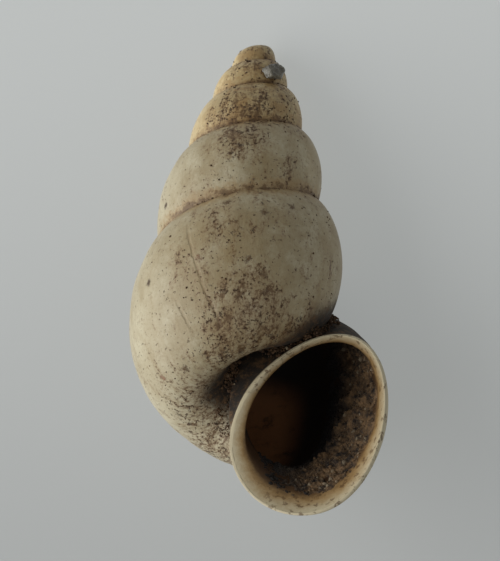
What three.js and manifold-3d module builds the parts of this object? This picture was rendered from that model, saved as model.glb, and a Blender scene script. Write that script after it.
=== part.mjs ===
// A small freshwater spire snail shell lying on its back with its mouth up: the shell itself, the dried silt
// that lines its mouth, and one sand grain stuck to its spire. Millimetres, +Z up, resting on z = 0.
import * as THREE from 'three';
import { ConvexGeometry } from 'three/addons/geometries/ConvexGeometry.js';
import { mergeVertices } from 'three/addons/utils/BufferGeometryUtils.js';
import Module from 'manifold-3d';

const wasm = await Module();
wasm.setup();

// Growth. A whorl number counts turns back from the lip: 0 at the lip, negative towards the apex.
const FIRST_WHORL = -5.508;
const NUCLEUS = { whorls: 0.35, blunt: 0.01 }; // the rounded start of the tube, with a small blunt end
const OPENING_WHORLS = 0.53; // the last stretch, over which the tube's section turns into the mouth's
// Logarithms of the tube's size and of its depth below the growth centre, as powers of the whorl number.
const GROWTH = [0.0483, -0.12024, -0.01719, -0.00083];
const DESCENT = [0.406, -0.00655];

// The tube's section at full growth, in the spire and at the mouth. Lean is in degrees, top outwards.
const TUBE_DEPTH = 4.555; // along the axis, from the growth centre to the tube's middle
const SPIRE = { radius: 0.636, halfWidth: 0.6645, halfHeight: 1.093, lean: 0.95, taper: 0.018 };
const MOUTH = { radius: 0.725, halfWidth: 0.8135, halfHeight: 1.1616, lean: 29.7, taper: 0.093 };
const MOUTH_AZIMUTH = -12.5; // degrees round the axis, from the right-hand side towards the viewer
const LEAVING = { whorls: 0.117, sink: 0.433, pivot: 0.3 }; // the last stretch, where the tube leaves the coil
const AXIS_BEND = [0, -0.564, 0.73]; // sideways shift of the coiling axis, powers of the share of its length
const AXIS_LENGTH = 5.717;

// Walls.
const LIP_WALL = 0.13;
const APEX_WALL = 0.06;
const LIP_ROUND = { whorls: 0.008, share: 0.4 }; // the lip's edge is rounded over this much of its wall
const AXIS_CLEARANCE = 0.02; // the tube keeps this far from the axis, inside the columella
const COLUMELLA = { from: -4.5, to: -0.35, radius: 0.27, corners: 12, stepsPerWhorl: 2 };
const HOLLOW = { from: -3, corners: 16 };

// Dried silt on the mouth's inner wall. Angles are in degrees round the section, from its outer side.
const SILT = { from: -0.21, to: -0.02, low: -100, high: 58, rows: 10, columns: 24 };
const SILT_DEPTH = { bank: 0.12, lump: 0.04, edge: 0.025 };
const SILT_GAP = 0.035; // keeps it clear of the wall's facets
const SILT_WAVES = [{ around: 17, along: 9 }, { around: 23, along: -7 }]; // radians over the whole spread

// Sand grain, stuck to the upper spire. The angle is round the section, from its outer side.
const GRAIN = { whorl: -3.86, angle: 17, length: 0.27, width: 0.22, depth: 0.12, gap: 0.002, spin: 35 };

// Facets.
const STEPS_PER_WHORL = 24;
const SHELL_CORNERS = 20; // of a tube section
const PIECE_WHORLS = 1 / 3; // the tube is joined from pieces too short to cross themselves
const JOIN_TOLERANCE = 0.003; // shorter edges are closed up after joining

// How it lies: degrees of tip about X, apex down, then of lean about Y and of swing about Z.
const LIE = { tip: 18.5, lean: 15, swing: 2.8 };
const WORN_DEPTH = 0.07; // how deep the back is worn flat where the shell lies on it

const { clamp, degToRad, lerp, smoothstep } = THREE.MathUtils;
const polynomial = (factors, x) => factors.reduceRight((sum, factor) => (sum + factor) * x, 0);
const lie = new THREE.Quaternion().setFromEuler(
  new THREE.Euler(degToRad(-90 - LIE.tip), degToRad(LIE.lean), degToRad(-LIE.swing), 'ZYX'),
);
const tubeSize = (whorl) => Math.exp(polynomial(GROWTH, whorl));
const tubeDepth = (whorl) => TUBE_DEPTH * Math.exp(polynomial(DESCENT, whorl));

// Moves a point of the straight shell sideways to where the bent axis carries it.
function bend(point) {
  point.x += polynomial(AXIS_BEND, clamp(-point.z / AXIS_LENGTH, 0, 1.1));
  return point;
}

// A place at a distance from the axis. Where the tube leaves the coil it turns about a pivot beyond the axis,
// so that the mouth's inner side can pass the axis.
function coilPoint(whorl, radius, z) {
  const turn = (number) => degToRad(MOUTH_AZIMUTH) - 2 * Math.PI * number; // clockwise from the apex
  const pivot = whorl > -LEAVING.whorls ? LEAVING.pivot : 0;
  const nearest = -pivot * smoothstep(whorl, -LEAVING.whorls, -LEAVING.whorls / 2);
  const reach = Math.max(radius, nearest + AXIS_CLEARANCE) + pivot;
  const x = reach * Math.cos(turn(whorl)) - pivot * Math.cos(turn(-LEAVING.whorls));
  const y = reach * Math.sin(turn(whorl)) - pivot * Math.sin(turn(-LEAVING.whorls));
  return bend(new THREE.Vector3(x, y, z));
}

// A point of the tube at an angle round its section, at a depth below its outer face.
function tubePoint(whorl, angle, depth) {
  const opening = smoothstep(whorl, -OPENING_WHORLS, 0);
  const mix = (key) => lerp(SPIRE[key], MOUTH[key], opening);
  const started = clamp((whorl - FIRST_WHORL) / NUCLEUS.whorls, 0, 1);
  const nucleus = Math.sqrt(1 - (1 - started) ** 2);
  const size = tubeSize(whorl);
  const halfWidth = mix('halfWidth') * size * nucleus - depth;
  const halfHeight = mix('halfHeight') * size * nucleus - depth;
  const across = halfWidth * Math.cos(angle) * (1 - mix('taper') * Math.sin(angle));
  const up = halfHeight * Math.sin(angle);
  const lean = degToRad(mix('lean'));
  const radius = mix('radius') * size + across * Math.cos(lean) + up * Math.sin(lean);
  const sunk = tubeDepth(whorl) + LEAVING.sink * smoothstep(whorl, -LEAVING.whorls, 0);
  return coilPoint(whorl, radius, -sunk - across * Math.sin(lean) + up * Math.cos(lean));
}

// Depths of the wall's two faces below the tube's outer face, with the lip's edge rounded.
const wallAt = (whorl) => lerp(APEX_WALL, LIP_WALL, Math.min(1, tubeSize(whorl)));
function lipRounding(whorl) {
  const share = clamp(1 + whorl / LIP_ROUND.whorls, 0, 1);
  return LIP_ROUND.share * LIP_WALL * (1 - Math.sqrt(1 - share ** 2));
}
const outerFace = (whorl) => lipRounding(whorl);
const innerFace = (whorl) => wallAt(whorl) - lipRounding(whorl);

// Whorl numbers of the sections of a stretch, evenly spaced, with finer steps round the lip's edge.
function sections(from, to, stepsPerWhorl = STEPS_PER_WHORL) {
  const steps = Math.round((to - from) * stepsPerWhorl);
  const even = Array.from({ length: steps + 1 }, (_, i) => lerp(from, to, i / steps));
  const edge = [1, 0.6, 0.2, 0].map((share) => -LIP_ROUND.whorls * share);
  const added = edge.filter((whorl) => whorl > from && whorl < to);
  return [...even, ...added].sort((a, b) => a - b);
}

// One closed ring of the tube, with its depth as a function of the whorl number and the angle.
const ring = (whorl, corners, depthAt) =>
  Array.from({ length: corners }, (_, k) => {
    const angle = (2 * Math.PI * k) / corners;
    return tubePoint(whorl, angle, depthAt(whorl, angle));
  });

function indexed(points, faces) {
  const geometry = new THREE.BufferGeometry().setFromPoints(points);
  return geometry.setIndex(faces.flat());
}

function toSolid(geometry) {
  const vertProperties = geometry.getAttribute('position').array;
  const triVerts = Uint32Array.from(geometry.index.array);
  return new wasm.Manifold(new wasm.Mesh({ numProp: 3, vertProperties, triVerts }));
}

// A closed solid through equal rings of points, with a fan over each end.
function loft(rings) {
  const count = rings[0].length;
  const last = (rings.length - 1) * count;
  const middle = (points) =>
    points.reduce((sum, point) => sum.add(point), new THREE.Vector3()).divideScalar(count);
  const points = [...rings.flat(), middle(rings[0]), middle(rings.at(-1))];
  const faces = [];
  for (let k = 0; k < count; k++) {
    const next = (k + 1) % count;
    faces.push([points.length - 2, next, k], [points.length - 1, last + k, last + next]);
    for (let start = 0; start < last; start += count) {
      faces.push([start + k, start + next, start + count + next]);
      faces.push([start + k, start + count + next, start + count + k]);
    }
  }
  return toSolid(indexed(points, faces));
}

// The tube from one whorl number to another, as short pieces from the apex end to the lip end.
function tubePieces(from, to, corners, depthAt) {
  const count = Math.round((to - from) / PIECE_WHORLS);
  return Array.from({ length: count }, (_, i) => {
    const end = to - (count - 1 - i) * PIECE_WHORLS;
    const start = i === 0 ? from : end - PIECE_WHORLS;
    return loft(sections(start, end).map((whorl) => ring(whorl, corners, depthAt)));
  });
}

const union = (solids) => solids.reduce((joined, solid) => joined.add(solid));

// The columella: a tapering pillar round the axis that fills the middle of the coil.
function columella() {
  const circle = (whorl) =>
    Array.from({ length: COLUMELLA.corners }, (_, k) => {
      const angle = (-2 * Math.PI * k) / COLUMELLA.corners;
      const radius = COLUMELLA.radius * tubeSize(whorl);
      return bend(new THREE.Vector3(radius * Math.cos(angle), radius * Math.sin(angle), -tubeDepth(whorl)));
    });
  return loft(sections(COLUMELLA.from, COLUMELLA.to, COLUMELLA.stepsPerWhorl).map(circle));
}

// Each later whorl is laid on the earlier ones, so its hollow stops at their outer faces.
function hollow(outerPieces) {
  const pieces = tubePieces(HOLLOW.from, 0, HOLLOW.corners, innerFace);
  const skipped = outerPieces.length - pieces.length;
  const open = pieces.map((piece, i) => piece.subtract(union(outerPieces.slice(0, skipped + i - 1))));
  return union(open);
}

// The pieces' shared ends leave specks of no volume where they meet, so only the largest body is kept.
const largestBody = (solid) => solid.decompose().sort((a, b) => b.volume() - a.volume())[0];

// Cuts the back flat, level with the surface that the shell lies on.
function wearBack(solid) {
  const lying = toGeometry(solid).applyQuaternion(lie);
  lying.computeBoundingBox();
  const ground = new THREE.BoxGeometry(2 * AXIS_LENGTH, 2 * AXIS_LENGTH, AXIS_LENGTH);
  ground.translate(0, 0, lying.boundingBox.min.z + WORN_DEPTH - AXIS_LENGTH / 2);
  return solid.subtract(toSolid(toClosed(ground.applyQuaternion(lie.clone().invert()))));
}

function shellSolid() {
  const outerPieces = tubePieces(FIRST_WHORL + NUCLEUS.blunt, 0, SHELL_CORNERS, outerFace);
  const joined = union([...outerPieces, columella()]).subtract(hollow(outerPieces));
  return largestBody(wearBack(joined).asOriginal().simplify(JOIN_TOLERANCE));
}

// A closed slab between a back and a front grid of points.
function slab(back, front) {
  const rows = back.length;
  const columns = back[0].length;
  const corner = (side, row, column) => (side * rows + row) * columns + column;
  const faces = [];
  const quad = (a, b, c, d) => faces.push([a, b, c], [a, c, d]);
  for (let i = 0; i < rows - 1; i++) {
    for (let j = 0; j < columns - 1; j++) {
      quad(corner(0, i, j), corner(0, i, j + 1), corner(0, i + 1, j + 1), corner(0, i + 1, j));
      quad(corner(1, i, j), corner(1, i + 1, j), corner(1, i + 1, j + 1), corner(1, i, j + 1));
    }
  }
  const edge = (i, j, k, l) => quad(corner(0, k, l), corner(0, i, j), corner(1, i, j), corner(1, k, l));
  for (let j = 0; j < columns - 1; j++) {
    edge(0, j, 0, j + 1);
    edge(rows - 1, j + 1, rows - 1, j);
  }
  for (let i = 0; i < rows - 1; i++) {
    edge(i, columns - 1, i + 1, columns - 1);
    edge(i + 1, 0, i, 0);
  }
  return indexed([...back.flat(), ...front.flat()], faces);
}

// How thick the silt lies at a place on the wall, given by shares of its spread: lumpy, thin at its borders.
function siltThickness(along, around) {
  const bank = Math.sin(Math.PI * along) * Math.sin(Math.PI * around);
  const [first, second] = SILT_WAVES.map((wave) => wave.around * around + wave.along * along);
  const lumps = Math.sin(first) * Math.cos(second);
  return SILT_DEPTH.edge + bank * (SILT_DEPTH.bank + SILT_DEPTH.lump * lumps);
}

function siltGeometry() {
  const face = (side) =>
    Array.from({ length: SILT.rows + 1 }, (_, i) =>
      Array.from({ length: SILT.columns + 1 }, (_, j) => {
        const whorl = lerp(SILT.from, SILT.to, i / SILT.rows);
        const angle = degToRad(lerp(SILT.low, SILT.high, j / SILT.columns));
        const thickness = side * siltThickness(i / SILT.rows, j / SILT.columns);
        return tubePoint(whorl, angle, wallAt(whorl) + SILT_GAP + thickness);
      }),
    );
  return slab(face(0), face(1));
}

function toGeometry(solid) {
  const mesh = solid.getMesh();
  const geometry = new THREE.BufferGeometry();
  geometry.setAttribute('position', new THREE.BufferAttribute(mesh.vertProperties, 3));
  geometry.setIndex(new THREE.BufferAttribute(mesh.triVerts, 1));
  return geometry;
}

// An angular pebble: a block with cut corners, as long, wide and deep as the grain.
function grainGeometry() {
  const corners = [
    [-1, -0.3, -0.7], [-0.7, 0.8, -0.9], [0.5, 1, -0.8], [1, 0.1, -0.6], [0.4, -1, -0.8],
    [-0.8, -0.5, 0.6], [-0.4, 0.6, 1], [0.6, 0.6, 0.7], [0.8, -0.4, 0.9], [0, -0.9, 0.8],
  ];
  const half = new THREE.Vector3(GRAIN.length, GRAIN.width, GRAIN.depth).divideScalar(2);
  const points = corners.map((corner) => new THREE.Vector3(...corner).multiply(half));
  return toClosed(new ConvexGeometry(points));
}

// Only the position is left, and shared corners are merged, so the surface is closed.
function toClosed(geometry) {
  geometry.deleteAttribute('normal');
  geometry.deleteAttribute('uv');
  return mergeVertices(geometry);
}

function named(name, geometry, color, roughness) {
  const material = new THREE.MeshStandardMaterial({ color, roughness, metalness: 0 });
  const mesh = new THREE.Mesh(geometry, material);
  mesh.name = name;
  return mesh;
}

// The grain lies flat on the whorl, on the line that leaves its face there.
function placeGrain(grain) {
  const angle = degToRad(GRAIN.angle);
  const foot = tubePoint(GRAIN.whorl, angle, 0);
  grain.position.copy(tubePoint(GRAIN.whorl, angle, -GRAIN.gap - GRAIN.depth / 2));
  grain.up.set(0, 0, 1);
  grain.lookAt(grain.position.clone().multiplyScalar(2).sub(foot));
  grain.rotateZ(degToRad(GRAIN.spin));
}

const shell = named('shell', toGeometry(shellSolid()), 0xc3bca6, 0.55);
const siltLining = named('silt_lining', siltGeometry(), 0x3b2d1c, 0.95);
const sandGrain = named('sand_grain', grainGeometry(), 0x8d8b86, 0.25);
placeGrain(sandGrain);

const turned = new THREE.Group();
turned.add(shell, siltLining, sandGrain);
turned.quaternion.copy(lie);

// The origin is under the middle of the lying shell, on the surface that it rests on.
const part = new THREE.Group();
part.add(turned);
const box = new THREE.Box3().setFromObject(part, true);
turned.position.set(-(box.min.x + box.max.x) / 2, -(box.min.y + box.max.y) / 2, -box.min.z);

export default part;
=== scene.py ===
"""A small freshwater spire snail shell, lying on its back with its mouth up, as dirty as it was found."""
import math

import bmesh
import bpy
import numpy as np
from mathutils import Matrix, Vector, kdtree, noise


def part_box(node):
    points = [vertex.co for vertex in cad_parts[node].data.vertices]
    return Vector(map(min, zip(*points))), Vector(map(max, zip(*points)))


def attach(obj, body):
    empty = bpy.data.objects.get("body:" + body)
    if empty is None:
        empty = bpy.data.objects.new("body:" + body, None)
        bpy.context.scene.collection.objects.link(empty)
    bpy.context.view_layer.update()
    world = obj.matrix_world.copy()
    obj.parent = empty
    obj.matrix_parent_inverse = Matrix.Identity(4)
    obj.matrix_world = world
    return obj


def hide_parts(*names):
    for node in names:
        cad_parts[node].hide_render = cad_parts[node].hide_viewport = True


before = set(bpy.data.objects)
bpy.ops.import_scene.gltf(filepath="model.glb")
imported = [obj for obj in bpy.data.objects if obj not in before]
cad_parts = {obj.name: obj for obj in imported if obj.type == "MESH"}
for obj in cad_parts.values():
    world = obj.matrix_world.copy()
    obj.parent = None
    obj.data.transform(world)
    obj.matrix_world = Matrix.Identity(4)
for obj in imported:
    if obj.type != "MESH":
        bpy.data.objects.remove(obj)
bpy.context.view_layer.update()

MM = 0.001
rng = np.random.default_rng(seed=7)

# Growth, in millimetres. A whorl number counts turns back from the lip: 0 at the lip, negative to the apex.
FIRST_WHORL = -5.508
NUCLEUS_WHORLS = 0.35  # in which the tube comes to its full section at the apex
OPENING_WHORLS = 0.53  # in which the section changes from the spire's to the mouth's
GROWTH = (0.0483, -0.12024, -0.01719, -0.00083)  # of the tube's size, powers of the whorl number
DESCENT = (0.406, -0.00655)  # of the tube's depth, powers of the whorl number
TUBE_DEPTH = 4.555  # along the axis, from the growth centre to the tube's middle
SPIRE = {"radius": 0.636, "half_width": 0.6645, "half_height": 1.093, "lean": 0.95, "taper": 0.018}
MOUTH = {"radius": 0.725, "half_width": 0.8135, "half_height": 1.1616, "lean": 29.7, "taper": 0.093}
MOUTH_AZIMUTH = -12.5  # degrees round the axis
LEAVING = {"whorls": 0.117, "sink": 0.433, "pivot": 0.3}  # the last stretch, where the tube leaves the coil
AXIS_BEND = (0, -0.564, 0.73)  # sideways shift of the axis, powers of the share of its length
AXIS_LENGTH = 5.717
AXIS_END = 1.1  # share of the length at which the bend stops
AXIS_CLEARANCE = 0.02  # from the axis to the tube, until it leaves the coil
SLIM_APEX = {"from": -3.6, "to": -5, "share": 0.15}
WORN_DEPTH = 0.07  # of the flat on the back
MOUTH_TURN = 6.4  # length of a whorl along the mouth's middle
BODY_TURN = 8  # and along the widest part of the body

# Degrees round the section at which a whorl may meet the one before or after it: from, to, step.
SUTURE_SEARCH = (-40, 110, 0.5)
LOWER_SEARCH = (60, -140, -0.5)
LAST_LOWER = -120  # how far down the last whorl shows

# Lip and wall.
LIP_EDGE = 0.035  # radius of the rounded edge
LIP_BEVEL = {"length": 0.2, "depth": 0.14, "below": 0.04, "right": 0.01}  # deeper below and on the right
WALL = 0.13  # behind the bevel
BEVEL_END = 3  # bevel lengths behind the lip at which the wall has its own thickness
NECK = {"from": -0.2, "to": -0.035, "depth": 0.025}  # the tube narrows a little behind the lip
RIPPLES = ((7, 0.004), (23, 0.0025), (61, 0.0015))  # growth ridges: number in a whorl, height
DENTS = {"scale": 2.2, "height": 0.008, "probe": 0.1}  # low, broad unevenness of the outside

# How the shell lies, and how the camera sees it: degrees of tip, lean and swing.
LIE = {"tip": 18.5, "lean": 15, "swing": 2.8}
VIEW = {"tip": 24.3, "lean": 0, "swing": 2.8}
PIXEL = 0.0111  # one photo pixel
IMAGE = (500, 561)
AXIS_START = (258.4, 23.5)  # pixel of the axis's upper end

# Mesh steps.
STEPS_PER_WHORL = 110
RING = 112  # points round the tube
APEX_ROWS = 40
EDGE_ROWS = 10  # round the lip's edge
EDGE_START = 5  # degrees
INNER_ROWS = 110
INNER_START = 0.004  # the first inner row's share of the way in, before crowding
INNER_CROWDING = 1.8  # crowds the inner rows towards the lip
HOLLOW_WHORLS = 0.95  # as far in as the mesh goes
BOX_STEPS = {"whorls": 0.01, "ring": 90}
SAMPLE_STEPS = {"whorls": 0.005, "degrees": 2}
SUTURE_STEPS = {"skipped_whorls": 1, "to": -0.1, "whorls": 0.0025}  # the first whorl has no suture

# Dried silt on the inside of the mouth: whorl numbers, degrees round the section, millimetres.
SILT = {"from": -0.16, "to": -0.019, "low": -105, "high": 80, "rows": 120, "columns": 240}
SILT_BANK = {"thickness": 0.1, "steepness": 0.4, "sink": 0.03}
SILT_LUMPS = {"scale": 4, "level": 0.65, "height": 0.75}
SILT_GRIT = {"scale": 22, "height": 0.012}
SILT_SHADE = 0.3  # below that of its pale grains
SILT_PAINTED_LIGHT = {"along": 0.75, "low": 0.5, "high": 0.92}  # shares of the crust within which it is lightest; short of them, painted shade darkens it deep in the tube and towards its lower and upper borders
SILT_GRAINS = 2200
SILT_MARGIN = 8  # rows and columns at the borders that carry no grains

# Crumbs of dirt on the shell.
CRUMBS = {"whorls": 4000, "groove": 4200, "suture": 600, "navel": 700}
CRUMBED_WHORLS = (-4.6, -0.35)
CRUMBED_SUTURE = (-4.6, -0.3)
CRUMBED_BODY = (-1, -0.5)
CRUMBED_HEIGHT = (0.02, 0.98)  # shares of what shows of a whorl
CRUMB_PATCHES = {"scale": 1.7, "none": -0.1, "full": 0.5}
CRUMBS_BEHIND = 0.06  # share of the front's crumbs that the back has
CRUMBS_LOWER = 0.7  # share that is lost from the lower to the upper side
CRUMB_SINK = 0.002
SUTURE_SPREAD = 0.04  # radians
NAVEL = {"whorls": (-0.48, -0.26), "angles": (-165, -105)}  # the pit at the lower end of the axis

# The groove between the last stretch of the tube and the body whorl: whorl numbers and degrees.
LAST_STRETCH = (-0.3, 0, 30, 250)
BODY_WHORL = (-1.5, -0.5, -130, 60)
GROOVE_GAP = 0.15

# Radii of grains in millimetres: the least, and how much larger the largest is.
SILT_GRAIN = (0.006, 0.028)
DIRT_CRUMB = (0.003, 0.014)
GROOVE_CRUMB = 1.6  # times as large
SMALL_GRAINS = 3  # a higher power makes more of them small
GRAIN_CORNERS = (0.65, 1.2)  # range of the reach of a corner
GRAIN_STRETCH = (0.6, 1.25)  # and of the stretch along an axis

# The stuck sand grain.
QUARTZ_EDGE = 0.012
QUARTZ_CHIPS = {"scale": 9, "height": 0.012}

# Marks that the photo shows, as whorl number and angle round the section.
PITS = ((-1.594, -0.1), (-0.623, 0.03))
BLOTS = ((-0.643, -1.2), (-0.823, -0.52), (-0.867, 0.63), (-0.817, 0.52), (-0.793, -0.1), (-0.753, 0.79))
RUST_SPOTS = ((-0.717, 0.03), (-0.58, -1.04))
SMEARED = ((-0.77, -0.93), (-0.79, -1.12), (-0.81, -0.55), (-0.76, -0.66), (-0.51, -1.92), (-0.42, -1.75),
           (-0.36, -1.5), (-2.77, 0.12), (-1.76, 0.53))
SMEAR_RADIUS = 0.5
SCARS = ((-0.687, -1.0, 0.62), (-0.672, -0.9, -0.25))  # whorl number, lowest and highest angle
SCAR_SLANT = 0.04  # whorls for each radian
SCAR_LINE = {"wave": 0.012, "edge": 0.004, "core": 0.0005}  # whorls
SCAR_FADE = 0.3  # radians
FRONT_WHORL = -0.84  # faces the viewer, as every whole turn before it does

# Stage, in metres.
CAMERA = {"distance": 0.4, "near": 0.001, "far": 10}
SENSOR_HEIGHT = 24  # millimetres
WINDOW_DISTANCE = 0.045
WINDOW = {"direction": (-0.86, -0.12, 0.5), "irradiance": 5.2, "size": 0.07}
FILL = {"direction": (0.5, -0.4, 0.75), "irradiance": 0.25, "size": 0.03}
SKY = {"Color": (0.95, 0.98, 1, 1), "Strength": 0.18}
FLOOR_HALF = 0.3
FLOOR_DROP = 0.000002  # keeps it clear of the worn flat
FLOOR_PAINTED_GLOW = {"from": -4.5, "to": 4.5, "least": 0.235, "more": 0.14}  # painted glow of the floor, brighter up the image: millimetres up the image, strengths


def srgb(red, green, blue):
    """A display colour, 0 to 255, as linear light."""
    linear = [((c / 255 + 0.055) / 1.055) ** 2.4 for c in (red, green, blue)]
    return (*linear, 1)


CREAM = srgb(202, 193, 164)
GREY_CREAM = srgb(184, 172, 141)
FILM = srgb(146, 123, 80)
TAN = srgb(222, 198, 148)
BROWN = srgb(126, 93, 57)
EARTH = srgb(98, 71, 42)
RUST = srgb(132, 74, 46)
DARK = srgb(68, 45, 25)
# near black: the tone of black dirt, and also painted shade deep in the mouth, in the groove and at the
# silt's far edges
BLACK_DIRT_AND_SHADE = srgb(30, 24, 20)
WHITE = srgb(206, 193, 160)
HONEY = srgb(166, 134, 86)
ORANGE = srgb(146, 100, 66)
SILT_BROWN = srgb(138, 108, 74)
SILT_GREY = srgb(158, 142, 116)
QUARTZ = srgb(152, 147, 130)
QUARTZ_VEIL = srgb(96, 88, 76)
FLOOR = srgb(122, 123, 122)
FLOOR_GLOW = (0.96, 1, 0.985, 1)

# Places of each kind of mark, and its radius, unevenness, tone and strength.
MARKS = (
    (RUST_SPOTS, 0.14, 0.22, RUST, 0.7),
    (BLOTS, 0.175, 0.28, EARTH, 0.9),
    (PITS, 0.11, 0.15, DARK, 0.95),
)
MARK_FADE = {"out": 0.02, "in": 0.03}  # from beyond the radius to within it


# The tube

def polynomial(factors, x):
    """Sum of powers of x from the first on, each with its factor."""
    total = 0
    for factor in reversed(factors):
        total = (total + factor) * x
    return total


def smoothstep(x, low, high):
    """0 at low and 1 at high, smooth between."""
    share = np.clip((x - low) / (high - low), 0, 1)
    return share * share * (3 - 2 * share)


def tube_size(whorl):
    return np.exp(polynomial(GROWTH, whorl))


def section(whorl, key):
    """A measure of the tube's section, between the spire's and the mouth's."""
    opening = smoothstep(whorl, -OPENING_WHORLS, 0)
    return SPIRE[key] + (MOUTH[key] - SPIRE[key]) * opening


def tube_middle(whorl):
    """Distance from the axis, and height along it, of the tube's middle."""
    sunk = TUBE_DEPTH * np.exp(polynomial(DESCENT, whorl))
    sunk = sunk + LEAVING["sink"] * smoothstep(whorl, -LEAVING["whorls"], 0)
    return section(whorl, "radius") * tube_size(whorl), -sunk


def turn(whorl):
    return math.radians(MOUTH_AZIMUTH) - 2 * np.pi * whorl


def tube_points(whorl, angle, depth):
    """Points of the tube, at angles round its section and depths below its outer face."""
    started = np.clip((whorl - FIRST_WHORL) / NUCLEUS_WHORLS, 0, 1)
    size = tube_size(whorl) * np.sqrt(1 - (1 - started) ** 2)
    slim = 1 - SLIM_APEX["share"] * smoothstep(whorl, SLIM_APEX["from"], SLIM_APEX["to"])
    across = (section(whorl, "half_width") * size * slim - depth) * np.cos(angle)
    across = across * (1 - section(whorl, "taper") * np.sin(angle))
    up = (section(whorl, "half_height") * size - depth) * np.sin(angle)
    lean = np.radians(section(whorl, "lean"))
    middle_radius, middle_height = tube_middle(whorl)
    radius = middle_radius * slim * started + across * np.cos(lean) + up * np.sin(lean)
    height = middle_height - across * np.sin(lean) + up * np.cos(lean)
    pivot = np.where(whorl > -LEAVING["whorls"], LEAVING["pivot"], 0)
    least = AXIS_CLEARANCE - pivot * smoothstep(whorl, -LEAVING["whorls"], -LEAVING["whorls"] / 2)
    reach = np.maximum(radius, least) + pivot
    leaving_turn = turn(-LEAVING["whorls"])
    x = reach * np.cos(turn(whorl)) - pivot * np.cos(leaving_turn)
    y = reach * np.sin(turn(whorl)) - pivot * np.sin(leaving_turn)
    x = x + polynomial(AXIS_BEND, np.clip(-height / AXIS_LENGTH, 0, AXIS_END))
    return np.stack(np.broadcast_arrays(x, y, height), -1)


def inside_whorl(whorl, other, angle):
    """Whether a tube point lies inside another whorl on the same side of the axis."""
    lean = np.radians(section(whorl, "lean"))
    size = tube_size(whorl)
    across = section(whorl, "half_width") * size * np.cos(angle)
    up = section(whorl, "half_height") * size * np.sin(angle)
    radius, height = tube_middle(whorl)
    radius = radius + across * np.cos(lean) + up * np.sin(lean)
    height = height - across * np.sin(lean) + up * np.cos(lean)
    other_radius, other_height = tube_middle(other)
    other_lean = np.radians(section(other, "lean"))
    dx = radius - other_radius
    dz = height - other_height
    u = (dx * np.cos(other_lean) - dz * np.sin(other_lean)) / section(other, "half_width")
    v = (dx * np.sin(other_lean) + dz * np.cos(other_lean)) / section(other, "half_height")
    return np.hypot(u, v) < tube_size(other)


def first_hidden(whorl, other, search):
    """The first of the angles searched at which a whorl lies inside another, or else the last of them."""
    angles = np.radians(np.arange(*search))
    hidden = inside_whorl(whorl, other, angles)
    return angles[np.argmax(hidden)] if hidden.any() else angles[-1]


def suture_angle(whorl):
    """The angle up to which a whorl shows, below the whorl before it."""
    return first_hidden(whorl, whorl - 1, SUTURE_SEARCH)


def lower_angle(whorl):
    """The angle down to which a whorl shows, above the whorl after it."""
    if whorl > -1:
        return math.radians(LAST_LOWER)
    return first_hidden(whorl, whorl + 1, LOWER_SEARCH)


# Where it lies

def turning(pose):
    """Rotation from the shell's own frame, with its axis upright, to a pose."""
    tip = Matrix.Rotation(math.radians(-90 - pose["tip"]), 3, "X")
    lean = Matrix.Rotation(math.radians(pose["lean"]), 3, "Y")
    swing = Matrix.Rotation(math.radians(-pose["swing"]), 3, "Z")
    return swing @ lean @ tip


def find_offset():
    """Where the shell's own origin lies, in millimetres, from the box of its solid."""
    step = BOX_STEPS["whorls"]
    whorls = np.arange(FIRST_WHORL, step / 10, step)[:, None]
    angles = np.linspace(0, 2 * np.pi, BOX_STEPS["ring"])[None, :]
    points = tube_points(whorls, angles, 0).reshape(-1, 3) @ np.array(turning(LIE)).T
    low, high = points.min(0), points.max(0)
    cad_low, cad_high = (np.array(corner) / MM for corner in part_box("shell"))
    offset = (cad_low + cad_high - low - high) / 2
    offset[2] = -low[2] - WORN_DEPTH
    return offset


OFFSET = find_offset()


def lay(points):
    """Points of the shell, in millimetres in its own frame, as it lies, in metres."""
    placed = points @ np.array(turning(LIE)).T + OFFSET
    placed[..., 2] = np.maximum(placed[..., 2], 0)
    return placed * MM


# Meshes

def new_object(name, points, faces, material):
    mesh = bpy.data.meshes.new(name)
    mesh.from_pydata(points.tolist(), [], faces.tolist())
    mesh.shade_smooth()
    mesh.materials.append(material)
    piece = bpy.data.objects.new(name, mesh)
    bpy.context.scene.collection.objects.link(piece)
    return piece


def grid_faces(rows, columns, closed):
    """Quads between rows of points. Closed rows join their last point to their first."""
    first = np.arange(rows - 1)[:, None] * columns
    column = np.arange(columns if closed else columns - 1)[None, :]
    after = (column + 1) % columns
    quads = (first + column, first + after, first + columns + after, first + columns + column)
    return np.stack(quads, -1).reshape(-1, 4)


def add_values(piece, **values):
    """Gives each point of a piece named values, which its material reads."""
    for name, value in values.items():
        attribute = piece.data.attributes.new(name, "FLOAT", "POINT")
        attribute.data.foreach_set("value", np.ascontiguousarray(value, np.float32).ravel())


def nearest(points, targets):
    """Number of the target that is nearest to each point, and how far it is."""
    tree = kdtree.KDTree(len(targets))
    for index, target in enumerate(targets):
        tree.insert(target, index)
    tree.balance()
    found = [tree.find(point) for point in points]
    return np.array([f[1] for f in found]), np.array([f[2] for f in found])


def distances(points, targets):
    return nearest(points, targets)[1]


def fractal(points, scale, roughness, gap, octaves):
    """Fractal noise at points. Each octave is finer than the one before by the gap."""
    return np.array([noise.fractal(Vector(point) * scale, roughness, gap, octaves) for point in points])


def growth_ripples(whorl):
    """Low ridges along the growth lines, as outward heights."""
    ripple = np.zeros_like(whorl)
    for turns, height in RIPPLES:
        ripple = ripple + height * np.sin(2 * np.pi * turns * whorl + rng.uniform(0, 2 * np.pi))
    return ripple * tube_size(whorl) ** 2


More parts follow.
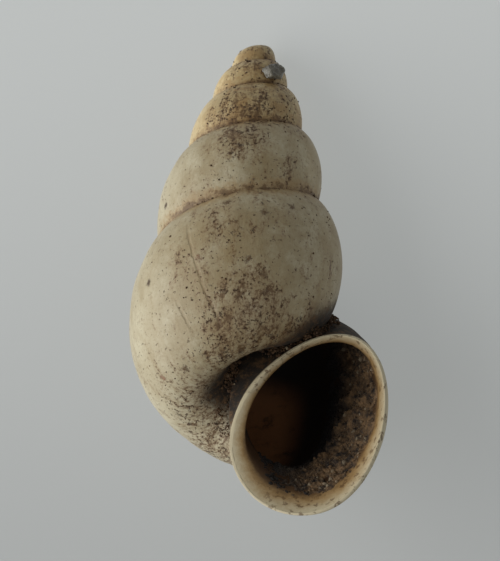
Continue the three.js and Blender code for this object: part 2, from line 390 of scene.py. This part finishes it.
def wall_depth(whorl, angle):
    """Depth of the wall's inner face: behind the lip a bevel, widest on the mouth's lower side."""
    behind = -whorl * MOUTH_TURN / LIP_BEVEL["length"]
    bevel = LIP_BEVEL["depth"] - LIP_BEVEL["below"] * np.sin(angle) + LIP_BEVEL["right"] * np.cos(angle)
    full = bevel + (WALL - bevel) * smoothstep(behind, 1, BEVEL_END)
    return LIP_EDGE + (full - LIP_EDGE) * np.sin(np.clip(behind, 0, 1) * np.pi / 2)


def neck(whorl):
    """How far the tube draws in behind the lip, so that the lip stands out round it."""
    near = smoothstep(whorl, NECK["from"], NECK["to"])
    return NECK["depth"] * near * (1 - smoothstep(whorl, NECK["to"], 0))


def shell_rows():
    """Whorl numbers, angles and depths of the wall, outside and then inside, and how far in each row is."""
    angle = np.linspace(-np.pi, np.pi, RING, endpoint=False)[None, :]
    edge = LIP_EDGE / MOUTH_TURN
    apex = FIRST_WHORL + NUCLEUS_WHORLS * np.linspace(0, 1, APEX_ROWS)[:-1, None] ** 2
    later = np.arange(FIRST_WHORL + NUCLEUS_WHORLS, -edge, 1 / STEPS_PER_WHORL)[:, None]
    outer = np.concatenate([apex, later])
    rounding = np.radians(np.linspace(EDGE_START, 90, EDGE_ROWS))[:, None]
    inner = -HOLLOW_WHORLS * np.linspace(INNER_START, 1, INNER_ROWS)[:, None] ** INNER_CROWDING
    whorl = np.concatenate([outer, -edge * (1 - np.sin(rounding)), inner])
    outer_depth = np.concatenate([-growth_ripples(outer), LIP_EDGE * (1 - np.cos(rounding))])
    depth = np.concatenate([outer_depth + 0 * angle, wall_depth(inner, angle)]) + neck(whorl)
    inside = np.concatenate([0 * outer, 0 * rounding, -inner * MOUTH_TURN])
    return whorl, angle, depth, inside


def dent(points, outward, outside):
    """Points of the outside moved in and out a little, as a shell is never quite even."""
    dents = np.array([noise.noise(Vector(point) * DENTS["scale"]) for point in points])
    return points + outward * (DENTS["height"] * dents * outside)[:, None]


def outward_directions(points, under):
    """Unit vectors to the points of a face from points under it."""
    outward = points - under
    return outward / np.maximum(np.linalg.norm(outward, axis=1, keepdims=True), 1e-6)


def suture_line():
    first = FIRST_WHORL + SUTURE_STEPS["skipped_whorls"]
    whorls = np.arange(first, SUTURE_STEPS["to"], SUTURE_STEPS["whorls"])
    return np.array([tube_points(w, suture_angle(w), 0) for w in whorls])


def tube_samples(low_whorl, high_whorl, low_angle, high_angle):
    """Points spread over part of the tube's outer face."""
    whorls = np.arange(low_whorl, high_whorl, SAMPLE_STEPS["whorls"])[:, None]
    angles = np.radians(np.arange(low_angle, high_angle, SAMPLE_STEPS["degrees"]))[None, :]
    return tube_points(whorls, angles, 0).reshape(-1, 3)


def find_groove():
    """Points of the tube, where it leaves the coil, and of the body whorl, where they nearly touch."""
    tube = tube_samples(*LAST_STRETCH)
    body = tube_samples(*BODY_WHORL)
    facing, gap = nearest(tube, body)
    narrow = gap < GROOVE_GAP
    return tube[narrow], body[facing[narrow]]


GROOVE = find_groove()


def make_shell(material):
    """The shell's wall as one mesh, with the values that its paint follows."""
    whorl, angle, depth, inside = shell_rows()
    points = tube_points(whorl, angle, depth)
    rows, columns = points.shape[:2]
    flat = points.reshape(-1, 3)
    under = tube_points(whorl, angle, depth + DENTS["probe"]).reshape(-1, 3)
    outward = outward_directions(flat, under)
    flat = dent(flat, outward, np.repeat(inside.ravel() == 0, columns))
    piece = new_object("snail_shell", lay(flat), grid_faces(rows, columns, True), material)
    steps = np.abs(np.diff(whorl.ravel(), prepend=whorl[0, 0]))
    along = np.cumsum(steps * tube_size(whorl.ravel())) * BODY_TURN
    full = np.ones((rows, columns))
    add_values(
        piece,
        whorl=whorl * full,
        along=along[:, None] * full,
        across=angle * tube_size(whorl),
        angle=angle * full,
        inside=inside * full,
        suture=distances(flat, suture_line()) / np.repeat(tube_size(whorl), columns),
        crevice=distances(flat, sum(GROOVE) / 2),
    )
    return piece


ICOSAHEDRON = bmesh.new()
bmesh.ops.create_icosphere(ICOSAHEDRON, subdivisions=1, radius=1)
GRAIN_POINTS = np.array([v.co for v in ICOSAHEDRON.verts])
GRAIN_FACES = np.array([[v.index for v in f.verts] for f in ICOSAHEDRON.faces])
ICOSAHEDRON.free()


def grain_sizes(count, least, more):
    return least + more * rng.uniform(0, 1, count) ** SMALL_GRAINS


def make_grains(name, centres, sizes, near, material):
    """Small angular crumbs, each of its own form, joined in one mesh."""
    count = len(centres)
    form = GRAIN_POINTS[None] * rng.uniform(*GRAIN_CORNERS, (count, len(GRAIN_POINTS), 1))
    form = form * rng.uniform(*GRAIN_STRETCH, (count, 1, 3))
    spin = np.linalg.qr(rng.normal(size=(count, 3, 3)))[0]
    points = np.einsum("nij,nkj->nki", spin, form) * sizes[:, None, None] + centres[:, None, :]
    faces = GRAIN_FACES[None] + (np.arange(count) * len(GRAIN_POINTS))[:, None, None]
    piece = new_object(name, lay(points.reshape(-1, 3)), faces.reshape(-1, 3), material)
    shade = np.repeat(rng.uniform(0, 1, count), len(GRAIN_POINTS))
    add_values(piece, shade=shade, near=np.repeat(near, len(GRAIN_POINTS)))
    return piece


def silt_depth(whorl, angle, along, around):
    """Depth of the silt's face: a lumpy bank on the wall that sinks into it at its borders."""
    bank = np.clip(np.sin(np.pi * along) * np.sin(np.pi * around), 0, 1) ** SILT_BANK["steepness"]
    points = tube_points(whorl, angle, 0).reshape(-1, 3)
    lumps = fractal(points, SILT_LUMPS["scale"], roughness=0.6, gap=2.1, octaves=6).reshape(bank.shape)
    grit = fractal(points, SILT_GRIT["scale"], roughness=0.5, gap=2.1, octaves=3).reshape(bank.shape)
    thickness = SILT_BANK["thickness"] * bank * (SILT_LUMPS["level"] + SILT_LUMPS["height"] * lumps)
    thickness = thickness + SILT_GRIT["height"] * grit - SILT_BANK["sink"] * (1 - bank)
    return wall_depth(whorl, angle) + thickness


def make_silt(material):
    """The crust of dried silt, and the loose grains on it."""
    along = np.linspace(0, 1, SILT["rows"])[:, None]
    around = np.linspace(0, 1, SILT["columns"])[None, :]
    whorl = SILT["from"] + (SILT["to"] - SILT["from"]) * along
    angle = np.radians(SILT["low"] + (SILT["high"] - SILT["low"]) * around)
    depth = silt_depth(whorl, angle, along, around)
    points = tube_points(whorl, angle, depth)
    faces = grid_faces(*points.shape[:2], False)[:, ::-1]
    crust = new_object("silt_crust", lay(points.reshape(-1, 3)), faces, material)
    # painted shade: near is 1 close to the lip and mid-crust, and drops to 0 deep in the tube and towards
    # the crust's lower and upper borders, where the silt is painted dark
    near = smoothstep(along, 0, SILT_PAINTED_LIGHT["along"]) * smoothstep(around, 0, SILT_PAINTED_LIGHT["low"])
    near = near * smoothstep(around, 1, SILT_PAINTED_LIGHT["high"])
    add_values(crust, shade=np.full(near.shape, SILT_SHADE), near=near)
    picked_rows = rng.integers(SILT_MARGIN, SILT["rows"] - SILT_MARGIN, SILT_GRAINS)
    picked_columns = rng.integers(SILT_MARGIN, SILT["columns"] - SILT_MARGIN, SILT_GRAINS)
    picks = (picked_rows, picked_columns)
    sizes = grain_sizes(SILT_GRAINS, *SILT_GRAIN)
    grains = make_grains("silt_grains", points[picks], sizes, near[picks], material)
    return [crust, grains]


def whorl_crumbs():
    """Places of crumbs on the whorls, in patches, thickest on the lower half of their fronts."""
    body = rng.uniform(*CRUMBED_BODY, CRUMBS["whorls"])
    whorls = np.concatenate([rng.uniform(*CRUMBED_WHORLS, CRUMBS["whorls"]), body])
    lows = np.array([lower_angle(w) for w in whorls])
    highs = np.array([suture_angle(w) for w in whorls])
    height = rng.uniform(*CRUMBED_HEIGHT, len(whorls))
    centres = tube_points(whorls, lows + (highs - lows) * height, CRUMB_SINK)
    patches = fractal(centres, CRUMB_PATCHES["scale"], roughness=0.7, gap=2.0, octaves=4)
    front = np.clip(np.cos(2 * np.pi * (whorls - FRONT_WHORL)), 0, 1)
    likely = (CRUMBS_BEHIND + (1 - CRUMBS_BEHIND) * front) * (1 - CRUMBS_LOWER * height)
    likely = likely * smoothstep(patches, CRUMB_PATCHES["none"], CRUMB_PATCHES["full"])
    return centres[likely > rng.uniform(0, 1, len(centres))]


def suture_crumbs():
    """Places of crumbs just below the suture."""
    whorls = rng.uniform(*CRUMBED_SUTURE, CRUMBS["suture"])
    places = [tube_points(w, suture_angle(w) - abs(rng.normal(0, SUTURE_SPREAD)), 0) for w in whorls]
    return np.array(places)


def navel_crumbs():
    whorls = rng.uniform(*NAVEL["whorls"], CRUMBS["navel"])
    return tube_points(whorls, np.radians(rng.uniform(*NAVEL["angles"], CRUMBS["navel"])), 0)


def groove_crumbs():
    """Places of crumbs between the tube and the body whorl beside the mouth."""
    tube, body = GROOVE
    picks = rng.integers(0, len(tube), CRUMBS["groove"])
    share = rng.uniform(0, 1, (CRUMBS["groove"], 1))
    return tube[picks] * (1 - share) + body[picks] * share


def make_dirt(material):
    """Crumbs of dirt on the whorls, along the sutures, in the navel and in the groove beside the mouth."""
    suture = suture_crumbs()
    navel = navel_crumbs()
    groove = groove_crumbs()
    centres = np.concatenate([whorl_crumbs(), suture, navel, groove])
    sizes = grain_sizes(len(centres), *DIRT_CRUMB)
    sizes[-CRUMBS["groove"]:] *= GROOVE_CRUMB
    return make_grains("dirt_crumbs", centres, sizes, np.ones(len(centres)), material)


def make_sand_grain(material):
    """The stuck grain: its solid with worn edges and an uneven, chipped face."""
    mesh = bmesh.new()
    mesh.from_mesh(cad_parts["sand_grain"].data)
    bmesh.ops.remove_doubles(mesh, verts=mesh.verts, dist=1e-7)
    bmesh.ops.bevel(mesh, geom=mesh.edges, offset=QUARTZ_EDGE * MM, segments=2, affect="EDGES", profile=0.5)
    bmesh.ops.subdivide_edges(mesh, edges=mesh.edges, cuts=3, use_grid_fill=True)
    bmesh.ops.triangulate(mesh, faces=mesh.faces)
    places = [vertex.co / MM for vertex in mesh.verts]
    chips = fractal(places, QUARTZ_CHIPS["scale"], roughness=0.7, gap=2.0, octaves=5)
    for vertex, chip in zip(mesh.verts, chips):
        vertex.co += vertex.normal * chip * QUARTZ_CHIPS["height"] * MM
    data = bpy.data.meshes.new("quartz_grain")
    mesh.to_mesh(data)
    mesh.free()
    data.materials.append(material)
    piece = bpy.data.objects.new("quartz_grain", data)
    bpy.context.scene.collection.objects.link(piece)
    return piece


# Materials

class Paint:
    """A node material being built: each method adds nodes and returns what they give."""

    COLOR_A, COLOR_B, COLOR_OUT = 6, 7, 2  # colour sockets of a mix node

    def __init__(self, name):
        self.material = bpy.data.materials.new(name)
        self.material.use_nodes = True
        self.nodes = self.material.node_tree.nodes
        self.links = self.material.node_tree.links
        self.shader = self.nodes["Principled BSDF"]

    def put(self, socket, value):
        if isinstance(value, bpy.types.NodeSocket):
            self.links.new(value, socket)
        else:
            socket.default_value = value

    def node(self, kind, *values, **settings):
        node = self.nodes.new(kind)
        for name, setting in settings.items():
            setattr(node, name, setting)
        for socket, value in zip(node.inputs, values):
            self.put(socket, value)
        return node

    def value(self, name):
        return self.node("ShaderNodeAttribute", attribute_name=name).outputs["Fac"]

    def place(self):
        """Place on the object in millimetres."""
        place = self.node("ShaderNodeTexCoord").outputs["Object"]
        return self.node("ShaderNodeVectorMath", place, (1 / MM,) * 3, operation="MULTIPLY").outputs[0]

    def vector(self, x, y, z=0.0):
        return self.node("ShaderNodeCombineXYZ", x, y, z).outputs[0]

    def math(self, operation, *values):
        return self.node("ShaderNodeMath", *values, operation=operation).outputs[0]

    def times(self, *values):
        product = values[0]
        for value in values[1:]:
            product = self.math("MULTIPLY", product, value)
        return product

    def add(self, base, value, factor):
        """A base plus a value times a factor."""
        return self.math("MULTIPLY_ADD", value, factor, base)

    def ramp(self, value, zero, one):
        """0 where the value is at the first number and 1 where it is at the second, smooth between."""
        settings = {"interpolation_type": "SMOOTHSTEP"}
        return self.node("ShaderNodeMapRange", value, zero, one, 0.0, 1.0, **settings).outputs[0]

    def noise_texture(self, vector, scale, detail, roughness):
        texture = self.node("ShaderNodeTexNoise")
        settings = {"Vector": vector, "Scale": scale, "Detail": detail, "Roughness": roughness}
        for name, value in settings.items():
            self.put(texture.inputs[name], value)
        return texture

    def noise(self, vector, scale, detail=5.0, roughness=0.6):
        return self.noise_texture(vector, scale, detail, roughness).outputs["Fac"]

    def wobble(self, vector, scale, amount):
        """Places shifted a little, each its own way, so that what is drawn on them is uneven."""
        shift = self.noise_texture(vector, scale, detail=3.0, roughness=0.6).outputs["Color"]
        amounts = (amount, amount, amount)
        return self.node("ShaderNodeVectorMath", shift, amounts, vector, operation="MULTIPLY_ADD").outputs[0]

    def mix(self, share, a, b):
        node = self.node("ShaderNodeMix", share, data_type="RGBA")
        self.put(node.inputs[self.COLOR_A], a)
        self.put(node.inputs[self.COLOR_B], b)
        return node.outputs[self.COLOR_OUT]

    def finish(self, color, roughness, height, relief):
        """Gives the shader its colour, roughness and a bump as high as the relief in millimetres."""
        self.put(self.shader.inputs["Base Color"], color)
        self.put(self.shader.inputs["Roughness"], roughness)
        bump = self.node("ShaderNodeBump")
        self.put(bump.inputs["Height"], height)
        bump.inputs["Distance"].default_value = relief * MM
        self.put(self.shader.inputs["Normal"], bump.outputs[0])
        return self.material


class ShellPaint(Paint):
    """The shell's paint: cream ground, layers of stain, some of them partly painted shade, specks and dirt,
    and the mouth's colours, darkened by painted shade deep in.
    """

    FAR_OFF = 1000.0  # beyond every distance on the shell
    DRAWN_OUT = 2.2  # how much longer noise gets along the growth lines

    def __init__(self):
        super().__init__("shell")
        self.spot = self.place()
        self.whorl = self.value("whorl")
        self.angle = self.value("angle")
        self.inside = self.value("inside")
        self.crevice = self.value("crevice")
        growth = self.vector(self.times(self.value("along"), self.DRAWN_OUT), self.value("across"))
        self.drawn = self.wobble(growth, scale=4.0, amount=0.15)
        self.patches = self.noise(self.spot, scale=2.6, detail=8.0, roughness=0.7)
        self.mottle = self.noise(self.spot, scale=4.5, detail=8.0, roughness=0.75)
        self.streaks = self.noise(self.drawn, scale=2.4, detail=6.0, roughness=0.65)
        full_turn = 2 * math.pi
        self.front = self.math("COSINE", self.add(-full_turn * FRONT_WHORL, self.whorl, factor=full_turn))
        self.color = None

    def distance(self, places):
        """Distance, in millimetres, to the nearest of some places on the shell."""
        distance = self.FAR_OFF
        for whorl, angle in places:
            place = tuple(lay(tube_points(whorl, angle, 0)) / MM)
            away = self.node("ShaderNodeVectorMath", self.spot, place, operation="DISTANCE").outputs["Value"]
            distance = self.math("MINIMUM", distance, away)
        return distance

    def cover(self, share, tone, strength=1.0):
        """Lays a tone over a share of the colour so far."""
        self.color = self.mix(self.times(share, strength), self.color, tone)

    def ground(self):
        """Cream with grey clouds, a fine grain and streaks along the growth lines."""
        clouds = self.noise(self.spot, scale=1.1)
        self.color = self.mix(self.ramp(clouds, zero=0.35, one=0.65), GREY_CREAM, CREAM)
        grain = self.noise(self.spot, scale=30.0, detail=4.0, roughness=0.7)
        self.cover(self.ramp(grain, zero=0.45, one=0.7), FILM, strength=0.22)
        self.cover(self.ramp(self.streaks, zero=0.45, one=0.75), FILM, strength=0.4)

    def stains(self):
        """Tan and honey on the older whorls; on the front a brown coat, partly dirt and partly painted shade
        on the side facing the viewer; and brown round the groove.
        """
        old = self.ramp(self.whorl, zero=-1.75, one=-3.0)
        self.cover(self.times(old, self.ramp(self.mottle, zero=0.2, one=0.5)), TAN)
        front = self.ramp(self.front, zero=-0.2, one=0.8)
        # painted shade: the coat is strongest on the side facing the viewer, partly dirt and partly standing
        # in for the shade of the side turned from the low window
        film_and_shade = self.times(self.ramp(self.patches, zero=0.25, one=0.6), front)
        self.cover(film_and_shade, FILM, strength=0.65)
        old_front = self.ramp(self.front, zero=-0.4, one=0.8)
        oldest = self.times(self.ramp(self.whorl, zero=-1.6, one=-2.8), old_front)
        self.cover(self.times(self.ramp(self.mottle, zero=0.46, one=0.58), oldest), HONEY, strength=0.8)
        halo = self.add(self.crevice, self.patches, factor=-0.5)
        self.cover(self.ramp(halo, zero=0.2, one=-0.2), EARTH, strength=0.8)

    def sutures(self):
        """An uneven brown stain along the suture, and a thin dark line in it."""
        suture = self.value("suture")
        uneven = self.noise(self.spot, scale=8.0, detail=6.0, roughness=0.75)
        edge = self.add(suture, uneven, factor=-0.6)
        self.cover(self.ramp(edge, zero=-0.06, one=-0.26), HONEY, strength=0.6)
        self.cover(self.ramp(edge, zero=-0.2, one=-0.3), EARTH, strength=0.75)
        broken = self.ramp(self.patches, zero=0.2, one=0.45)
        line = self.times(self.ramp(suture, zero=0.025, one=0.006), broken)
        self.cover(line, DARK, strength=0.85)

    def dirty_zone(self):
        """Where dirt is thick: in patches, on the front, low on the body whorl, and at smeared places."""
        body = self.ramp(self.whorl, zero=-1.0, one=-0.9)
        base = self.times(self.ramp(self.angle, zero=-0.5, one=-1.1), body)
        front = self.ramp(self.front, zero=0.0, one=0.9)
        old_front = self.ramp(self.front, zero=0.2, one=0.9)
        old = self.times(self.ramp(self.whorl, zero=-1.7, one=-2.4), old_front)
        smeared = self.ramp(self.distance(SMEARED), zero=SMEAR_RADIUS, one=0.0)
        dense = self.noise(self.spot, scale=1.9, detail=5.0, roughness=0.65)
        dense = self.add(dense, self.streaks, factor=0.4)
        dense = self.add(dense, front, factor=0.2)
        dense = self.add(dense, base, factor=0.2)
        dense = self.add(dense, old, factor=0.1)
        dense = self.add(dense, smeared, factor=0.4)
        return self.ramp(dense, zero=0.75, one=1.2)

    def specks(self):
        """Smears and specks of dirt."""
        zone = self.dirty_zone()
        grains = self.noise(self.spot, scale=28.0, detail=3.0, roughness=0.65)
        smears = self.noise(self.drawn, scale=4.0, detail=8.0, roughness=0.8)
        smears = self.add(smears, zone, factor=0.16)
        smears = self.add(smears, grains, factor=0.5)
        self.cover(self.ramp(smears, zero=0.77, one=0.97), BROWN, strength=0.5)
        self.cover(self.ramp(smears, zero=0.87, one=1.0), EARTH, strength=0.85)
        clumps = self.noise(self.spot, scale=6.0, detail=5.0, roughness=0.7)
        clumps = self.times(zone, self.ramp(clumps, zero=0.4, one=0.6))
        fine = self.add(grains, clumps, factor=0.12)
        coarse = self.noise(self.spot, scale=11.0, detail=6.0, roughness=0.75)
        coarse = self.add(coarse, clumps, factor=0.1)
        fine_specks = self.ramp(fine, zero=0.65, one=0.72)
        specks = self.math("MAXIMUM", fine_specks, self.ramp(coarse, zero=0.67, one=0.74))
        self.cover(self.times(specks, self.ramp(self.mottle, zero=0.2, one=0.55)), DARK, strength=0.8)
        return specks

    def marks(self):
        """The larger rust spots, blots and pits."""
        uneven = self.noise(self.spot, scale=16.0, detail=8.0, roughness=0.85)
        marked = 0.0
        for places, radius, unevenness, tone, strength in MARKS:
            distance = self.add(self.distance(places), uneven, factor=unevenness)
            share = self.ramp(distance, zero=radius + MARK_FADE["out"], one=radius - MARK_FADE["in"])
            self.cover(share, tone, strength)
            marked = self.math("MAXIMUM", marked, share)
        return marked

    def scars(self):
        """Thin healed breaks in the lip of earlier days, along slanting growth lines."""
        slanted = self.add(self.whorl, self.angle, factor=-SCAR_SLANT)
        slanted = self.add(slanted, self.mottle, factor=SCAR_LINE["wave"])
        lines = []
        for whorl, low, high in SCARS:
            level = whorl - SCAR_SLANT * high + SCAR_LINE["wave"] / 2
            away = self.math("ABSOLUTE", self.math("SUBTRACT", slanted, level))
            line = self.ramp(away, zero=SCAR_LINE["edge"], one=SCAR_LINE["core"])
            lower_end = self.ramp(self.angle, zero=low, one=low + SCAR_FADE)
            upper_end = self.ramp(self.angle, zero=high, one=high - SCAR_FADE)
            lines.append(self.times(line, lower_end, upper_end))
        scars = self.math("MAXIMUM", *lines)
        self.cover(scars, BROWN, strength=0.15)
        return scars

    def groove(self):
        """Black between the body whorl and the tube, short of the lip: partly packed dirt, partly painted
        shade of the groove.
        """
        gravel = self.noise(self.spot, scale=9.0, detail=8.0, roughness=0.75)
        tube_side = self.ramp(self.whorl, zero=-0.45, one=-0.35)
        reach = self.add(self.crevice, gravel, factor=-0.4)
        reach = self.add(reach, tube_side, factor=-0.25)
        short_of_lip = self.ramp(self.whorl, zero=-0.01, one=-0.02)
        dirty = self.times(self.ramp(reach, zero=0.14, one=-0.08), short_of_lip)
        # the black here is partly packed dirt and partly painted shade of the narrow groove
        tone = self.mix(self.ramp(gravel, zero=0.45, one=0.75), BLACK_DIRT_AND_SHADE, BROWN)
        self.cover(dirty, tone, strength=0.95)
        return dirty

    def mouth(self):
        """Cream lip, then honey stain and brown; deeper in, painted shade darkens the tube through dark
        brown to black, which turns red-brown far in.
        """
        stain = self.noise(self.spot, scale=5.0, detail=8.0, roughness=0.75)
        depth = self.add(self.inside, stain, factor=0.22)
        color = self.mix(self.ramp(depth, zero=0.09, one=0.25), WHITE, HONEY)
        color = self.mix(self.ramp(depth, zero=0.2, one=0.33), color, EARTH)
        # painted shade: deeper in, the hollow tube darkens through dark brown to black
        color = self.mix(self.ramp(depth, zero=0.28, one=0.5), color, DARK)
        color = self.mix(self.ramp(self.inside, zero=0.6, one=1.1), color, BLACK_DIRT_AND_SHADE)
        outer_side = self.ramp(self.angle, zero=0.7, one=0.2)
        far = self.times(self.ramp(self.inside, zero=1.15, one=1.5), outer_side)
        far = self.times(far, self.ramp(self.mottle, zero=0.25, one=0.5))
        color = self.mix(far, color, ORANGE)
        self.cover(self.ramp(self.whorl, zero=-0.02, one=-0.006), WHITE)
        self.cover(self.ramp(self.inside, zero=0.0, one=0.004), color)

    def lip_dots(self):
        """Brown dots on the lower and right sides of the lip."""
        dots = self.noise(self.spot, scale=13.0, detail=4.0, roughness=0.65)
        near_lip = self.ramp(self.whorl, zero=-0.06, one=-0.03)
        on_lip = self.times(near_lip, self.ramp(self.angle, zero=-2.4, one=-1.2))
        self.cover(self.times(self.ramp(dots, zero=0.54, one=0.62), on_lip), EARTH, strength=0.75)


def shell_material():
    """Satin shell, rough and raised where it is dirty."""
    paint = ShellPaint()
    paint.ground()
    paint.stains()
    paint.sutures()
    specks = paint.specks()
    marks = paint.times(paint.marks(), 0.4)  # marks lie flatter than specks
    scars = paint.scars()
    groove = paint.groove()
    paint.mouth()
    paint.lip_dots()
    behind_lip = paint.ramp(paint.whorl, zero=-0.006, one=-0.02)
    outside = paint.times(behind_lip, paint.ramp(paint.inside, zero=0.004, one=0.0))
    dirt = paint.math("MAXIMUM", paint.math("MAXIMUM", specks, marks), groove)
    dirt = paint.times(dirt, outside)
    roughness = paint.add(0.5, dirt, factor=0.3)
    ridges = paint.times(paint.noise(paint.drawn, scale=7.0, detail=4.0), 0.5)
    height = paint.add(ridges, dirt, factor=0.8)
    height = paint.add(height, scars, factor=-0.5)
    return paint.finish(paint.color, roughness, height, relief=0.012)


def silt_material(name, deep, tint, pale):
    """Matt dried silt, of two mottled tones, painted darker as shade where its value near is low. Some
    grains of it are pale, by a share.
    """
    paint = Paint(name)
    place = paint.place()
    tone = paint.noise(place, scale=9.0, detail=8.0, roughness=0.7)
    color = paint.mix(paint.ramp(tone, zero=0.35, one=0.68), deep, tint)
    light = paint.ramp(paint.value("shade"), zero=1 - pale, one=1.0)
    color = paint.mix(paint.times(light, 0.8), color, SILT_GREY)
    # painted shade: where near is low, deep in the tube and at the crust's borders, the silt is painted near
    # black
    color = paint.mix(paint.ramp(paint.value("near"), zero=0.6, one=0.05), color, BLACK_DIRT_AND_SHADE)
    grit = paint.noise(place, scale=40.0, detail=4.0, roughness=0.7)
    roughness = paint.add(0.75, tone, factor=0.2)
    return paint.finish(color, roughness, grit, relief=0.02)


def quartz_material():
    """Cloudy grey quartz, part glassy."""
    paint = Paint("quartz")
    place = paint.place()
    cloud = paint.noise(place, scale=6.0, detail=6.0, roughness=0.7)
    color = paint.mix(paint.ramp(cloud, zero=0.38, one=0.62), QUARTZ, QUARTZ_VEIL)
    roughness = paint.ramp(paint.noise(place, scale=14.0), zero=0.2, one=1.2)
    paint.shader.inputs["Transmission Weight"].default_value = 0.35
    paint.shader.inputs["IOR"].default_value = 1.54
    return paint.finish(color, roughness, paint.noise(place, scale=25.0), relief=0.006)


def floor_material():
    """A pale tray with a painted glow, as of light let through from below, brighter up the image as painted
    fall-off of the light.
    """
    paint = Paint("floor")
    paint.shader.inputs["Emission Color"].default_value = FLOOR_GLOW
    place = paint.place()
    upwards = paint.node("ShaderNodeSeparateXYZ", place).outputs["Y"]
    rising = paint.ramp(upwards, zero=FLOOR_PAINTED_GLOW["from"], one=FLOOR_PAINTED_GLOW["to"])
    glow = paint.add(FLOOR_PAINTED_GLOW["least"], rising, factor=FLOOR_PAINTED_GLOW["more"])
    # painted light: the floor glows, more strongly up the image
    paint.put(paint.shader.inputs["Emission Strength"], glow)
    tone = paint.noise(place, scale=0.4)
    return paint.finish(FLOOR, 0.9, tone, relief=0.01)


# Stage

def make_camera():
    """Looks at the shell as the photo does, from far off."""
    data = bpy.data.cameras.new("camera")
    camera = bpy.data.objects.new("camera", data)
    bpy.context.scene.collection.objects.link(camera)
    data.sensor_fit = "VERTICAL"
    data.sensor_height = SENSOR_HEIGHT
    data.lens = SENSOR_HEIGHT * CAMERA["distance"] / (IMAGE[1] * PIXEL * MM)
    data.clip_start = CAMERA["near"]
    data.clip_end = CAMERA["far"]
    view = turning(LIE) @ turning(VIEW).inverted()
    middle = Vector((IMAGE[0] / 2 - AXIS_START[0], AXIS_START[1] - IMAGE[1] / 2, 0)) * PIXEL
    target = (view @ middle + Vector(OFFSET)) * MM
    away = view @ Vector((0, 0, CAMERA["distance"]))
    camera.matrix_world = Matrix.Translation(target + away) @ view.to_4x4()
    bpy.context.scene.camera = camera


def add_window(name, direction, irradiance, size):
    """A square light that faces the shell from a direction."""
    light = bpy.data.lights.new(name, "AREA")
    light.size = size
    light.energy = irradiance * math.pi * WINDOW_DISTANCE ** 2
    window = bpy.data.objects.new(name, light)
    towards = Vector(direction).normalized()
    window.location = towards * WINDOW_DISTANCE
    window.rotation_euler = towards.to_track_quat("Z", "Y").to_euler()
    bpy.context.scene.collection.objects.link(window)


def make_light():
    """A broad window low on the left, a weak one on the right, and pale light from all round."""
    add_window("window", **WINDOW)
    add_window("fill", **FILL)
    world = bpy.data.worlds.new("studio")
    bpy.context.scene.world = world
    world.use_nodes = True
    for name, value in SKY.items():
        world.node_tree.nodes["Background"].inputs[name].default_value = value
    bpy.context.scene.view_settings.view_transform = "Standard"


def make_floor():
    corners = ((-1, -1), (1, -1), (1, 1), (-1, 1))
    points = np.array([(x * FLOOR_HALF, y * FLOOR_HALF, -FLOOR_DROP) for x, y in corners])
    floor = new_object("floor", points, np.array([[0, 1, 2, 3]]), floor_material())


make_camera()
make_light()
make_floor()

shell = make_shell(shell_material())
crust, crumbs = make_silt(silt_material("silt", BLACK_DIRT_AND_SHADE, SILT_BROWN, pale=0.25))
dirt = make_dirt(silt_material("dirt", DARK, EARTH, pale=0.12))
sand_grain = make_sand_grain(quartz_material())

slots = ((shell, "shell"), (crust, "silt"), (crumbs, "silt"), (dirt, "silt"), (sand_grain, "quartz"))
for piece, slot in slots:
    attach(piece, "root")
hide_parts("shell")
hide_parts("silt_lining")
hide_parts("sand_grain")
